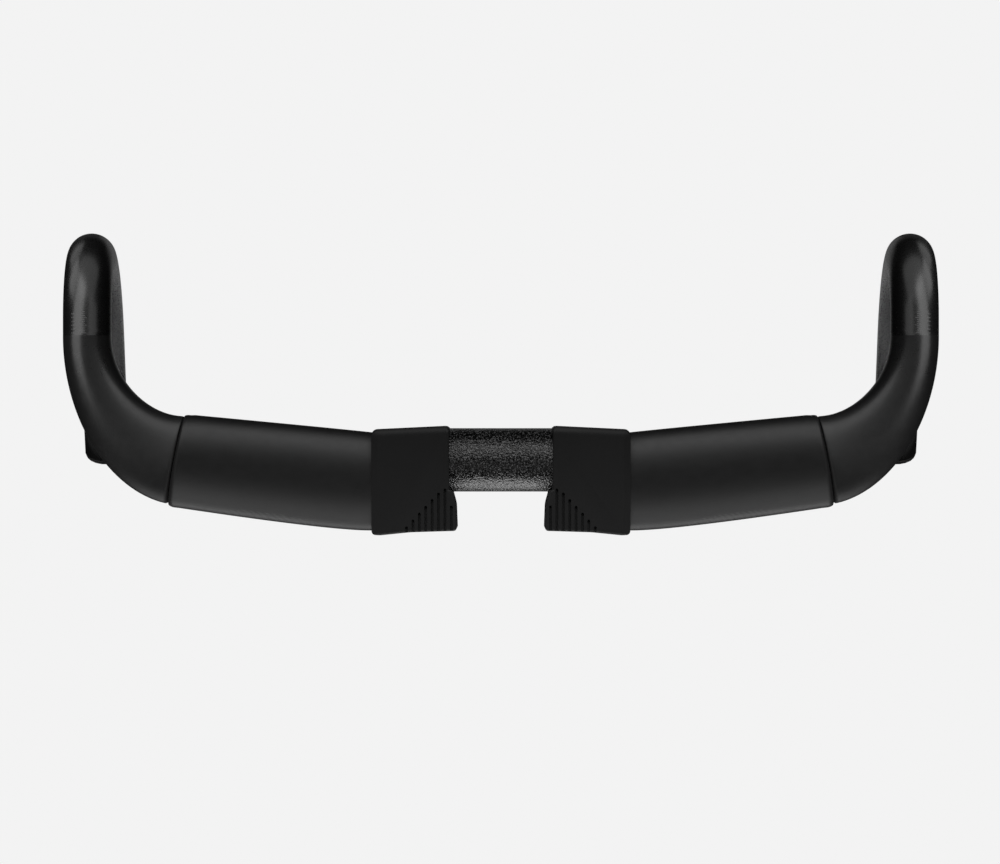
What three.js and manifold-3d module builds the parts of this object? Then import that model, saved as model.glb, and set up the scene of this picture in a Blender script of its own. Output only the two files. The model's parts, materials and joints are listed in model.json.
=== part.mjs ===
// Drop handlebar: a flat aero wing with bonded drops, shrouds beside the stem and expander end plugs.
// Millimetres. +X to the rider's right along the stem clamp, +Y forward, +Z up.
// The origin is the centre of the round stem clamp, on its axis.
// Every side piece is built for the right side (+X) and mirrored in the plane X = 0 for the left.

import * as THREE from 'three';
import { mergeVertices } from 'three/addons/utils/BufferGeometryUtils.js';
import Module from 'manifold-3d';

const wasm = await Module();
wasm.setup();

// ---------------------------------------------------------------- driving dimensions

const GAP = 0.3; // between neighbouring pieces
const RING_SIDES = 20; // facets round the wing and the drops
const BORE_SIDES = 12; // facets round the bore of a drop

const CLAMP_RADIUS = 15.9; // 31.8 mm stem clamp
const CLAMP_REACH = 25.6; // half the length of the round part left free for the stem
const BAR_WALL = 2;

const WING_START = 64.3; // where the full wing section comes out of the shroud
const WING_THICKNESS = 11; // half the wing's thickness
const WING_CHORD_END = 23.5; // half the wing's chord at the joint
// Start and control point of the wing's front and rear edges in plan, from the shroud outward.
const WING_FRONT = [[WING_START, 13.8], [80, 15.6]];
const WING_REAR = [[WING_START, -35.4], [84, -35.8]];
const LIP_RADIUS = 1.3; // rounding of the wing's end, beside the step down to the drop

const JOINT_CENTRE = [162.5, -0.2];
const JOINT_SWEEP = THREE.MathUtils.degToRad(10.33); // the joint's normal, forward of +X
const DROP_ROOT = [22.3, 9.8]; // half width and half height of the drop at the joint
const SPIGOT_LENGTH = 0.26; // share of the wing's length that the drop's spigot reaches into it
const SPIGOT_WALL = 1.6;

const HOOD_X = 207.33; // the hood tube's centre line
const HOOD_START = 62;
const TUBE_RADIUS = 12;
const BEND_HANDLES = [22.8, 31.4]; // stiffness of the bend at the joint and at the hood
const FLARE = THREE.MathUtils.degToRad(6.1); // the hook leans out by this much

const HOOK_START = 71.1; // where the hood tube starts to curve down
const HOOK_RADIUS = 33.2;
const HOOK_TURN = THREE.MathUtils.degToRad(97);
const LOWER_RADIUS = 80; // the gentler curve into the lower drop
const DROP_SLOPE = THREE.MathUtils.degToRad(31.1); // the lower drop below the horizontal
const DROP_LENGTH = 72.3; // straight part of the lower drop, without the plug cap
const BORE_RADIUS = 10.4;

const SHROUD_WALL = 2;
const SHROUD_TOP = 17.8; // height of the shroud's roof at the clamp end
const SHROUD_FALL_OUT = 0.124; // how far the roof falls per millimetre outward
const SHROUD_FALL_BACK = 0.06; // and per millimetre rearward
const SHROUD_BEVEL = { width: 2, drop: 0.9 }; // its shallow drop keeps the outer edge above the wing
const HOLLOW_BEVEL = { width: 1, drop: 1 };
const GROOVE_WIDTH = 1.4;
const GROOVE_DEPTH = 1.1;
const GROOVE_PITCH = 3.18;
const GROOVE_FIRST = 46.7;
// Front ends of the grooves, from the outermost one inward.
const GROOVE_ENDS = [-32.8, -29.4, -26, -22.6, -19.2, -16, -14, -22.4];
const HOSE_MOUTH = { y: [-32, -17.6], z: 6.6 }; // hose outlet in the shroud's toe, facing the stem

const SCREW_PLACE = [36, -29.6]; // shroud screw, in plan
const SCREW_RADIUS = 1.5;
const SCREW_TIP = 6;
const WASHER_TOP = -8.3;
const WASHER_THICKNESS = 0.5;
const SCREW_HEAD = { radius: 2.75, height: 3, socket: 1.45, socketDepth: 1.4 };
const BOSS = { radius: 4.4, belowRoof: 1.5 };
const INSERT = { outer: 2.4, bottom: 1, top: 6 };

const EXIT_PORT = { x: 40, width: 13, height: 7.5 };
const ENTRY_PORT = { y: 51, width: 11, height: 7 };
const GROMMET_LIP = 1.4; // how far the grommet's lip overlaps the edge of its port
const GROMMET_THICKNESS = 1;
const GROMMET_RUBBER = 0.9; // wall of the grommet inside its port

const PLUG_SCREW_RADIUS = 2.5;
// Heights along the plug are from the end of the drop's tube, outward.
const PLUG_HEAD = { radius: 4.25, bottom: 1.3, top: 3.1, socket: 1.75, socketDepth: 1.3 };
const PLUG_SCREW_TIP = -21.5;
const PLUG_CAP = { top: 3.3, edge: 2, spigot: 9.6, spigotEnd: -1.5, recess: 4.9, recessFloor: 1 };
const SLEEVE = { radius: 9.6, top: -1.8, bore: 3.4, taperStart: -8, mouth: 7.5, bottom: -15.8 };
const CONE = { nose: 4.4, top: -11, radius: 8.2, shoulder: -18.2, bottom: -19.6 };

// ---------------------------------------------------------------- materials

function finish(color, roughness, metalness) {
  return new THREE.MeshStandardMaterial({ color, roughness, metalness });
}

const CARBON = finish(0x1c1c1d, 0.5, 0);
const SHROUD_PLASTIC = finish(0x1b1b1b, 0.85, 0);
const RUBBER = finish(0x141414, 0.9, 0);
const PLUG_PLASTIC = finish(0x19191a, 0.6, 0);
const STEEL = finish(0x8a8c8f, 0.35, 1);
const BRASS = finish(0xb08d4a, 0.35, 1);
const ALUMINIUM = finish(0x9a9b9d, 0.4, 1);

// ---------------------------------------------------------------- solids

// A closed mesh from points and triangles, turned inside out if its volume comes out negative.
function closedMesh(points, triangles) {
  let volume = 0;
  for (const [a, b, c] of triangles) {
    volume += points[a].dot(new THREE.Vector3().crossVectors(points[b], points[c]));
  }
  const outward = volume < 0 ? triangles.map(([a, b, c]) => [a, c, b]) : triangles;
  const geometry = new THREE.BufferGeometry().setFromPoints(points);
  geometry.setIndex(outward.flat());
  return geometry;
}

// Skins a row of rings that all have the same number of points, and closes both ends.
function loft(rings, capTriangles) {
  const count = rings[0].length;
  const triangles = [];
  for (let r = 0; r < rings.length - 1; r++) {
    for (let i = 0; i < count; i++) {
      const a = r * count + i;
      const b = r * count + (i + 1) % count;
      triangles.push([a, b, b + count], [a, b + count, a + count]);
    }
  }
  const last = (rings.length - 1) * count;
  for (const [a, b, c] of capTriangles) {
    triangles.push([c, b, a], [last + a, last + b, last + c]);
  }
  return closedMesh(rings.flat(), triangles);
}

function fan(count) {
  return Array.from({ length: count - 2 }, (_, i) => [0, i + 1, i + 2]);
}

// Triangles over a flat outline, in the same sense as the outline itself.
function flatCap(outline) {
  return THREE.ShapeUtils.triangulateShape(outline, []).map((t) => [...t].sort((a, b) => a - b));
}

function toSolid(geometry) {
  const bare = new THREE.BufferGeometry();
  bare.setAttribute('position', geometry.getAttribute('position').clone());
  bare.setIndex(geometry.getIndex());
  const merged = mergeVertices(bare, 1e-4);
  const vertProperties = Float32Array.from(merged.getAttribute('position').array);
  const triVerts = Uint32Array.from(merged.getIndex().array);
  return new wasm.Manifold(new wasm.Mesh({ numProp: 3, vertProperties, triVerts }));
}

function toGeometry(solid) {
  const mesh = solid.getMesh();
  const geometry = new THREE.BufferGeometry();
  geometry.setAttribute('position', new THREE.BufferAttribute(mesh.vertProperties, 3));
  geometry.setIndex(new THREE.BufferAttribute(mesh.triVerts, 1));
  return geometry;
}

// An upright cylinder between two heights, at a place in plan.
function post(radius, bottom, top, [x, y] = [0, 0], sides = 14) {
  const geometry = new THREE.CylinderGeometry(radius, radius, top - bottom, sides);
  geometry.rotateX(Math.PI / 2);
  geometry.translate(x, y, (bottom + top) / 2);
  return toSolid(geometry);
}

function ring(outer, inner, bottom, top, place, sides) {
  return post(outer, bottom, top, place, sides).subtract(post(inner, bottom - 1, top + 1, place, sides));
}

function box(low, high) {
  const size = high.map((value, i) => value - low[i]);
  const geometry = new THREE.BoxGeometry(...size);
  geometry.translate(...low.map((value, i) => value + size[i] / 2));
  return geometry;
}

// The main body of a solid, without the slivers of no volume that close cuts can leave.
function mainBody(solid) {
  return solid.decompose().sort((a, b) => b.volume() - a.volume())[0];
}

// A solid of revolution about the Z axis from a closed profile of [radius, height] points.
function turned(profile, sides = 20) {
  const points = [...profile, profile[0]].map(([r, h]) => new THREE.Vector2(r, h));
  const geometry = new THREE.LatheGeometry(points, sides);
  geometry.rotateX(Math.PI / 2);
  return toSolid(geometry);
}

// ---------------------------------------------------------------- sections of the bar

// A section is an ellipse: its centre and its two half axes.
function section(centre, across, up) {
  return { centre, across, up };
}

function grown({ centre, across, up }, by) {
  const longer = (v) => v.clone().setLength(v.length() + by);
  return section(centre, longer(across), longer(up));
}

function ringOf({ centre, across, up }, sides) {
  return Array.from({ length: sides }, (_, i) => {
    const angle = (i / sides) * 2 * Math.PI;
    return centre.clone().addScaledVector(across, Math.cos(angle)).addScaledVector(up, Math.sin(angle));
  });
}

function tube(sections, sides, offset = 0) {
  return loft(sections.map((s) => ringOf(grown(s, offset), sides)), fan(sides));
}

function mirroredSection({ centre, across, up }) {
  const flip = new THREE.Vector3(-1, 1, 1);
  return section(centre.clone().multiply(flip), across.clone().multiply(flip), up.clone());
}

function smooth(t) {
  return t * t * (3 - 2 * t);
}

// A point of the joint's plane, a distance forward of its centre.
function jointPoint(forward) {
  const [x, y] = JOINT_CENTRE;
  return [x - forward * Math.sin(JOINT_SWEEP), y + forward * Math.cos(JOINT_SWEEP)];
}

function planCurve(points) {
  return new THREE.QuadraticBezierCurve(...points.map((p) => new THREE.Vector2(...p)));
}

const frontEdge = planCurve([...WING_FRONT, jointPoint(WING_CHORD_END)]);
const rearEdge = planCurve([...WING_REAR, jointPoint(-WING_CHORD_END)]);

// The wing's section at a share of the way from the shroud (0) to the joint (1).
function wingSection(share) {
  const front = frontEdge.getPoint(share);
  const rear = rearEdge.getPoint(share);
  const centre = front.clone().add(rear).divideScalar(2);
  const across = rear.clone().sub(front).divideScalar(2);
  return section(
    new THREE.Vector3(centre.x, centre.y, 0),
    new THREE.Vector3(across.x, across.y, 0),
    new THREE.Vector3(0, 0, WING_THICKNESS),
  );
}

// The change from the round clamp (0) to the wing (1), under the shroud.
function changeSection(share) {
  const wing = wingSection(0);
  const blend = smooth(share);
  return section(
    new THREE.Vector3(THREE.MathUtils.lerp(CLAMP_REACH, WING_START, share), wing.centre.y * blend, 0),
    new THREE.Vector3(0, -THREE.MathUtils.lerp(CLAMP_RADIUS, wing.across.length(), blend), 0),
    new THREE.Vector3(0, 0, THREE.MathUtils.lerp(CLAMP_RADIUS, WING_THICKNESS, blend)),
  );
}

const CHANGE_STEPS = 6;
const WING_STEPS = 6;
const rightChange = Array.from({ length: CHANGE_STEPS }, (_, i) => changeSection(i / CHANGE_STEPS));
const rightWing = Array.from({ length: WING_STEPS + 1 }, (_, i) => wingSection(i / WING_STEPS));

// The wing's end, rounded over the lip beside the step down to the drop.
function lipSections() {
  const end = wingSection(1);
  const inward = new THREE.Vector3(-Math.cos(JOINT_SWEEP), -Math.sin(JOINT_SWEEP), 0);
  return [0, 35, 70].map((degrees) => {
    const angle = THREE.MathUtils.degToRad(degrees);
    const back = LIP_RADIUS * (1 - Math.sin(angle));
    const moved = section(end.centre.clone().addScaledVector(inward, back), end.across, end.up);
    return grown(moved, -LIP_RADIUS * (1 - Math.cos(angle)));
  });
}

// ---------------------------------------------------------------- centre wing

function capsule(width, height) {
  const half = (width - height) / 2;
  const shape = new THREE.Shape();
  shape.moveTo(-half, -height / 2);
  shape.lineTo(half, -height / 2);
  shape.absarc(half, 0, height / 2, -Math.PI / 2, Math.PI / 2, false);
  shape.lineTo(-half, height / 2);
  shape.absarc(-half, 0, height / 2, Math.PI / 2, 1.5 * Math.PI, false);
  return shape;
}

// A capsule-shaped prism through a wall at a place, along the wall's outward direction.
function portPrism(place, width, height, inside, outside) {
  const geometry = new THREE.ExtrudeGeometry(capsule(width, height), {
    depth: inside + outside, bevelEnabled: false, curveSegments: 4,
  });
  geometry.translate(0, 0, -inside);
  const frame = new THREE.Matrix4().makeBasis(place.along, place.side, place.out);
  geometry.applyMatrix4(frame.setPosition(place.point));
  const indexed = mergeVertices(new THREE.BufferGeometry()
    .setAttribute('position', geometry.getAttribute('position')), 1e-4);
  return toSolid(indexed);
}

// The hose exit in the rear edge of the change section, facing rearward and inward.
function exitPlace() {
  const share = (EXIT_PORT.x - CLAMP_REACH) / (WING_START - CLAMP_REACH);
  const rear = (s) => changeSection(s).centre.clone().add(changeSection(s).across);
  const along = rear(share + 0.05).sub(rear(share - 0.05)).normalize();
  const side = new THREE.Vector3(0, 0, 1);
  return { point: rear(share), along, side, out: new THREE.Vector3().crossVectors(along, side) };
}

// The hose entry in the underside of the ramp.
function entryPlace() {
  return {
    point: new THREE.Vector3(HOOD_X, ENTRY_PORT.y, -TUBE_RADIUS),
    along: new THREE.Vector3(0, 1, 0),
    side: new THREE.Vector3(1, 0, 0),
    out: new THREE.Vector3(0, 0, -1),
  };
}

function mirroredSolid(solid) {
  return solid.mirror([1, 0, 0]);
}

function wingSkin(offset) {
  const outer = [...rightChange, ...rightWing.slice(0, -1), ...lipSections()];
  const bothSides = [...outer.map(mirroredSection).reverse(), ...outer];
  return toSolid(tube(bothSides, RING_SIDES, offset));
}

function wingBore() {
  const beyond = wingSection(1);
  beyond.centre.x += 2;
  const right = [...rightChange, ...rightWing, beyond];
  const bothSides = [...right.map(mirroredSection).reverse(), ...right];
  return toSolid(tube(bothSides, RING_SIDES, -BAR_WALL));
}

function centreWing() {
  const port = portPrism(exitPlace(), EXIT_PORT.width, EXIT_PORT.height, BAR_WALL + 4, 4);
  return wingSkin(0).subtract(wingBore()).subtract(port).subtract(mirroredSolid(port));
}

// ---------------------------------------------------------------- drops

const jointNormal = new THREE.Vector3(Math.cos(JOINT_SWEEP), Math.sin(JOINT_SWEEP), 0);
const bendStart = new THREE.Vector3(...JOINT_CENTRE, 0).addScaledVector(jointNormal, GAP);
const bendCurve = new THREE.CubicBezierCurve3(
  bendStart,
  bendStart.clone().addScaledVector(jointNormal, BEND_HANDLES[0]),
  new THREE.Vector3(HOOD_X, HOOD_START - BEND_HANDLES[1], 0),
  new THREE.Vector3(HOOD_X, HOOD_START, 0),
);

// The bend's section: wide and flat at the joint, round at the hood.
function bendSection(share) {
  const tangent = bendCurve.getTangent(share);
  const blend = smooth(share ** 0.872);
  const halfWidth = THREE.MathUtils.lerp(DROP_ROOT[0], TUBE_RADIUS, blend);
  const halfHeight = THREE.MathUtils.lerp(DROP_ROOT[1], TUBE_RADIUS, blend);
  return section(
    bendCurve.getPoint(share),
    new THREE.Vector3(tangent.y, -tangent.x, 0).multiplyScalar(halfWidth),
    new THREE.Vector3(0, 0, halfHeight),
  );
}

// The hook's centre line in its own plane: x forward, y along the plane's leaning upright.
function hookPath() {
  const path = new THREE.Path();
  path.moveTo(HOOD_START, 0);
  path.lineTo(HOOK_START, 0);
  const centre = new THREE.Vector2(HOOK_START, -HOOK_RADIUS);
  const firstEnd = Math.PI / 2 - HOOK_TURN;
  path.absarc(centre.x, centre.y, HOOK_RADIUS, Math.PI / 2, firstEnd, true);
  const shift = HOOK_RADIUS - LOWER_RADIUS;
  const lower = new THREE.Vector2(Math.cos(firstEnd), Math.sin(firstEnd)).multiplyScalar(shift).add(centre);
  const secondEnd = -Math.PI / 2 + DROP_SLOPE;
  path.absarc(lower.x, lower.y, LOWER_RADIUS, firstEnd, secondEnd, true);
  const end = new THREE.Vector2(Math.cos(secondEnd), Math.sin(secondEnd))
    .multiplyScalar(LOWER_RADIUS)
    .add(lower);
  const heading = new THREE.Vector2(-Math.cos(DROP_SLOPE), -Math.sin(DROP_SLOPE));
  end.addScaledVector(heading, DROP_LENGTH);
  path.lineTo(end.x, end.y);
  return path;
}

function leaning(forward, upright) {
  return new THREE.Vector3(-upright * Math.sin(FLARE), forward, upright * Math.cos(FLARE));
}

const planeNormal = new THREE.Vector3(Math.cos(FLARE), 0, Math.sin(FLARE));

function hookSection(curve, share) {
  const point = curve.getPoint(share);
  const tangent = curve.getTangent(share);
  const along = leaning(tangent.x, tangent.y);
  const centre = leaning(point.x, point.y);
  centre.x += HOOD_X;
  return section(
    centre,
    planeNormal.clone().multiplyScalar(TUBE_RADIUS),
    new THREE.Vector3().crossVectors(planeNormal, along).multiplyScalar(TUBE_RADIUS),
  );
}

const BEND_STEPS = 8;
const HOOK_STEPS = [1, 9, 5, 1]; // rings along the hood, the hook, the lower curve and the lower drop

function dropSections() {
  const bend = Array.from({ length: BEND_STEPS + 1 }, (_, i) => bendSection(i / BEND_STEPS));
  const curves = hookPath().curves.filter((curve) => curve.getLength() > 1e-6);
  const hook = curves.flatMap((curve, c) =>
    Array.from({ length: HOOK_STEPS[c] }, (_, i) => hookSection(curve, (i + 1) / HOOK_STEPS[c])));
  return [...bend, ...hook];
}

const dropLine = dropSections();
const dropEnd = dropLine.at(-1);
const dropHeading = leaning(-Math.cos(DROP_SLOPE), -Math.sin(DROP_SLOPE));

function dropSkin(offset) {
  return toSolid(tube(dropLine, RING_SIDES, offset));
}

// The spigot follows the wing's own inner shape, so that it slides in with an even gap.
function spigotSections() {
  return [1 - SPIGOT_LENGTH, 1 - SPIGOT_LENGTH / 2, 1].map(wingSection);
}

function dropShell() {
  const root = section(dropLine[0].centre.clone().add(jointNormal), dropLine[0].across, dropLine[0].up);
  const spigot = spigotSections();
  const outer = toSolid(tube([...spigot, root], RING_SIDES, -BAR_WALL - GAP)).add(dropSkin(0));
  const boreLine = [...dropLine.slice(1), beyondEnd(3)].map((s) => grown(s, BORE_RADIUS - TUBE_RADIUS));
  const before = section(spigot[0].centre.clone(), spigot[0].across, spigot[0].up);
  before.centre.addScaledVector(jointNormal, -2);
  const spigotBore = [before, ...spigot].map((s) => grown(s, -BAR_WALL - GAP - SPIGOT_WALL));
  const bore = toSolid(tube([...spigotBore, ...boreLine], BORE_SIDES));
  const port = portPrism(entryPlace(), ENTRY_PORT.width, ENTRY_PORT.height, BAR_WALL + 3, 4);
  return outer.subtract(bore).subtract(port);
}

// The drop's last section, carried on past its end.
function beyondEnd(distance) {
  return section(dropEnd.centre.clone().addScaledVector(dropHeading, distance), dropEnd.across, dropEnd.up);
}

// ---------------------------------------------------------------- shrouds

// Plan outline of a shroud, with the toe beside the stem that the hoses come out of.
function shroudOutline() {
  const shape = new THREE.Shape();
  shape.moveTo(CLAMP_REACH, 15.8);
  shape.lineTo(27, 17);
  shape.quadraticCurveTo(45, 16.6, 62.4, 15.4);
  shape.lineTo(WING_START, 13.6);
  shape.lineTo(WING_START, -36.2);
  shape.lineTo(62.8, -37.2);
  shape.quadraticCurveTo(50, -36.6, 23.2, -35.1);
  shape.lineTo(21.9, -33.8);
  shape.quadraticCurveTo(21.5, -20, 24.3, -14.9);
  shape.lineTo(CLAMP_REACH, -14.3);
  return shape.getPoints(3);
}

// Moves every side of a closed outline inward by the same distance.
function insetOutline(points, distance) {
  const turning = THREE.ShapeUtils.isClockWise(points) ? 1 : -1;
  return points.map((point, i) => {
    const before = point.clone().sub(points.at(i - 1)).normalize();
    const after = points[(i + 1) % points.length].clone().sub(point).normalize();
    const mitre = before.clone().add(after).normalize();
    const normal = new THREE.Vector2(mitre.y, -mitre.x).multiplyScalar(turning);
    const stretch = 1 / Math.max(0.5, mitre.dot(after));
    return point.clone().addScaledVector(normal, distance * stretch);
  });
}

function roofHeight(x, y) {
  return SHROUD_TOP - SHROUD_FALL_OUT * (x - CLAMP_REACH) + SHROUD_FALL_BACK * y;
}

// A block over the outline from a floor height up to the roof, lowered by a depth, with bevelled edges.
function shroudBlock(inset, floor, depth, { width, drop }) {
  const outline = shroudOutline();
  const base = insetOutline(outline, inset);
  const layer = (extra, down) => insetOutline(outline, inset + extra)
    .map((p) => new THREE.Vector3(p.x, p.y, roofHeight(p.x, p.y) - depth - down));
  const rings = [
    base.map((p) => new THREE.Vector3(p.x, p.y, floor)),
    layer(0, drop),
    layer(width * 0.3, drop * 0.3),
    layer(width, 0),
  ];
  return toSolid(loft(rings, flatCap(base)));
}

// A straight slot in the roof from a front end back past the rear edge.
function groove(index) {
  const x = GROOVE_FIRST - index * GROOVE_PITCH;
  const geometry = box(
    [x - GROOVE_WIDTH / 2, -40, -GROOVE_DEPTH],
    [x + GROOVE_WIDTH / 2, GROOVE_ENDS[index], GROOVE_DEPTH + 2],
  );
  const position = geometry.getAttribute('position');
  for (let i = 0; i < position.count; i++) {
    position.setZ(i, position.getZ(i) + roofHeight(position.getX(i), position.getY(i)));
  }
  return toSolid(geometry);
}

function barCutter() {
  const start = changeSection(0);
  start.centre.x -= 12;
  const end = wingSection(0.12);
  return toSolid(tube([start, ...rightChange, wingSection(0), end], RING_SIDES, GAP));
}

function boss() {
  const [x, y] = SCREW_PLACE;
  return post(BOSS.radius, GAP / 2, roofHeight(x, y) - BOSS.belowRoof, SCREW_PLACE);
}

function shroudShell() {
  const mouth = toSolid(box([10, HOSE_MOUTH.y[0], -1], [30, HOSE_MOUTH.y[1], HOSE_MOUTH.z]));
  const hollow = shroudBlock(SHROUD_WALL, -1, SHROUD_WALL, HOLLOW_BEVEL);
  return shroudBlock(0, GAP / 2, 0, SHROUD_BEVEL)
    .subtract(hollow)
    .subtract(mouth)
    .add(boss())
    .subtract(barCutter());
}

function upperShroud() {
  let shell = shroudShell();
  for (let i = 0; i < GROOVE_ENDS.length; i++) {
    shell = shell.subtract(groove(i));
  }
  return mainBody(shell.subtract(post(INSERT.outer + GAP, -1, INSERT.top + GAP, SCREW_PLACE)));
}

function lowerShroud() {
  return mainBody(shroudShell()
    .mirror([0, 0, 1])
    .subtract(post(SCREW_RADIUS + GAP, -30, 1, SCREW_PLACE))
    .subtract(post(SCREW_HEAD.radius + 0.5, -30, WASHER_TOP + GAP, SCREW_PLACE)));
}

function threadedInsert() {
  return ring(INSERT.outer, SCREW_RADIUS + GAP, INSERT.bottom, INSERT.top, SCREW_PLACE);
}

function screwWasher() {
  const bottom = WASHER_TOP - WASHER_THICKNESS;
  return ring(SCREW_HEAD.radius + 0.1, SCREW_RADIUS + GAP, bottom, WASHER_TOP, SCREW_PLACE);
}

function shroudScrew() {
  const underHead = WASHER_TOP - WASHER_THICKNESS - GAP;
  const headEnd = underHead - SCREW_HEAD.height;
  const socket = post(SCREW_HEAD.socket, headEnd - 1, headEnd + SCREW_HEAD.socketDepth, SCREW_PLACE, 6);
  return post(SCREW_HEAD.radius, headEnd, underHead, SCREW_PLACE)
    .add(post(SCREW_RADIUS, underHead - 1, SCREW_TIP, SCREW_PLACE))
    .subtract(socket);
}

// ---------------------------------------------------------------- grommets

// A rubber bush in a port, with a lip that follows the bar's surface.
function grommet(place, port, skin) {
  const { width, height } = port;
  const lip = portPrism(place, width + 2 * GROMMET_LIP, height + 2 * GROMMET_LIP, 8, 4)
    .intersect(skin(GAP + GROMMET_THICKNESS))
    .subtract(skin(GAP));
  const bush = portPrism(place, width - 2 * GAP, height - 2 * GAP, BAR_WALL + 1.5, 4)
    .intersect(skin(GAP + GROMMET_THICKNESS));
  const inset = 2 * (GAP + GROMMET_RUBBER);
  return lip.add(bush).subtract(portPrism(place, width - inset, height - inset, 12, 6));
}

// ---------------------------------------------------------------- end plugs

// Plug pieces are made about Z with height 0 at the drop's end, then set on the drop's axis.
function onDropEnd(solid) {
  const geometry = toGeometry(solid);
  const turn = new THREE.Quaternion().setFromUnitVectors(new THREE.Vector3(0, 0, 1), dropHeading);
  geometry.applyQuaternion(turn);
  geometry.translate(...dropEnd.centre.toArray());
  return toSolid(geometry);
}

function plugCap() {
  const { top, edge, spigot, spigotEnd, recess, recessFloor } = PLUG_CAP;
  const bore = PLUG_SCREW_RADIUS + GAP;
  const rounding = [0, 45, 90].map((degrees) => {
    const angle = THREE.MathUtils.degToRad(degrees);
    return [TUBE_RADIUS - edge * (1 - Math.cos(angle)), top - edge * (1 - Math.sin(angle))];
  });
  return onDropEnd(turned([
    [bore, spigotEnd], [spigot, spigotEnd], [spigot, GAP], [TUBE_RADIUS, GAP],
    ...rounding, [recess, top], [recess, recessFloor], [bore, recessFloor],
  ]));
}

function plugSleeve() {
  const { radius, top, bore, taperStart, mouth, bottom } = SLEEVE;
  return onDropEnd(turned([
    [bore, top], [bore, taperStart], [mouth, bottom], [radius, bottom], [radius, top],
  ]));
}

function plugCone() {
  const { nose, top, radius, shoulder, bottom } = CONE;
  const bore = PLUG_SCREW_RADIUS + GAP;
  return onDropEnd(turned([[bore, top], [bore, bottom], [radius, bottom], [radius, shoulder], [nose, top]]));
}

function plugScrew() {
  const { radius, bottom, top, socket, socketDepth } = PLUG_HEAD;
  return onDropEnd(post(radius, bottom, top)
    .add(post(PLUG_SCREW_RADIUS, PLUG_SCREW_TIP, bottom + 0.5))
    .subtract(post(socket, top - socketDepth, top + 1, [0, 0], 6)));
}

// ---------------------------------------------------------------- assembly

const bar = new THREE.Group();

function addNode(name, solid, material) {
  const mesh = new THREE.Mesh(toGeometry(solid), material);
  mesh.name = name;
  bar.add(mesh);
}

function addPair(name, solid, material) {
  addNode(`right_${name}`, solid, material);
  addNode(`left_${name}`, mirroredSolid(solid), material);
}

addNode('centre_wing', centreWing(), CARBON);
addPair('drop', dropShell(), CARBON);
addPair('upper_cover', upperShroud(), SHROUD_PLASTIC);
addPair('lower_cover', lowerShroud(), SHROUD_PLASTIC);
addPair('threaded_insert', threadedInsert(), BRASS);
addPair('screw_washer', screwWasher(), STEEL);
addPair('cover_screw', shroudScrew(), STEEL);
addPair('exit_grommet', grommet(exitPlace(), EXIT_PORT, wingSkin), RUBBER);
addPair('entry_grommet', grommet(entryPlace(), ENTRY_PORT, dropSkin), RUBBER);
addPair('plug_cap', plugCap(), PLUG_PLASTIC);
addPair('plug_sleeve', plugSleeve(), RUBBER);
addPair('plug_cone', plugCone(), ALUMINIUM);
addPair('plug_screw', plugScrew(), STEEL);

export default bar;
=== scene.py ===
# Looks of the drop handlebar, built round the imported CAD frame.
# Metres. +X to the rider's right, +Y forward, +Z up, origin at the centre of the stem clamp.
import json
import math

import bmesh
import bpy
import numpy as np
from mathutils import Matrix, Vector

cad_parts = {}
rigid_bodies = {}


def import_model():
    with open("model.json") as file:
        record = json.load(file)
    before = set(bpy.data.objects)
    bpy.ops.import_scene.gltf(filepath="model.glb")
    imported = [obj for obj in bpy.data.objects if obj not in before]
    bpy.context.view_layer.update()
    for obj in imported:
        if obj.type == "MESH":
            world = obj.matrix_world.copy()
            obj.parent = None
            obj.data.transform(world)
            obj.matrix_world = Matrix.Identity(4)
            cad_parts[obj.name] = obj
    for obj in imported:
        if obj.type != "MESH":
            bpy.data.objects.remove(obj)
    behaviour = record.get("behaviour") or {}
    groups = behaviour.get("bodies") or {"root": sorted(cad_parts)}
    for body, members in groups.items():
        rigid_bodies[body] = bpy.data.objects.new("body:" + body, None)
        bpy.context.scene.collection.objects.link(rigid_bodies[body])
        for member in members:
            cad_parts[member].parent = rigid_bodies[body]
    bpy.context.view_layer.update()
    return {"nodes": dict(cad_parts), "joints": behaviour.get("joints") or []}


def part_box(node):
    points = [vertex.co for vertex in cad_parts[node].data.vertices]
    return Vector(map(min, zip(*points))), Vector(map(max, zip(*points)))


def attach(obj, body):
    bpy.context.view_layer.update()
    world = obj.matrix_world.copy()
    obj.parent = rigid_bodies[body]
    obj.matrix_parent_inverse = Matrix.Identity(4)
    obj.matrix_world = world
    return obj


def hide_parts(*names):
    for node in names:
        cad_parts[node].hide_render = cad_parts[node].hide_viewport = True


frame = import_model()

MM = 0.001
GAP = 0.3 * MM
SIDES = {"right": 1, "left": -1}

# ---------------------------------------------------------------- measures

clamp_low, clamp_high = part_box("centre_wing")
CLAMP_RADIUS = clamp_high.z
CLAMP_REACH = 25.6 * MM  # half the length of the round clamp
BAR_WALL = 2 * MM
WING_START = 64.3 * MM
WING_THICKNESS = 11 * MM  # these two are half measures
WING_CHORD_END = 23.5 * MM
# The first two points of the curves of the wing's edges in plan, which end at the joint.
WING_FRONT = [(WING_START, 13.8 * MM), (80 * MM, 15.6 * MM)]
WING_REAR = [(WING_START, -35.4 * MM), (84 * MM, -35.8 * MM)]
CHANGE_STEPS = 24  # sections from the clamp to the wing, and along the wing
WING_STEPS = 30
LIP_RADIUS = 1.1 * MM  # how far the wing's end rounds over, inward
LIP_WIDTH = 3 * MM  # and along the wing
SEAM_BEYOND = 3 * MM  # the clamp's grit runs this far under the covers

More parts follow.
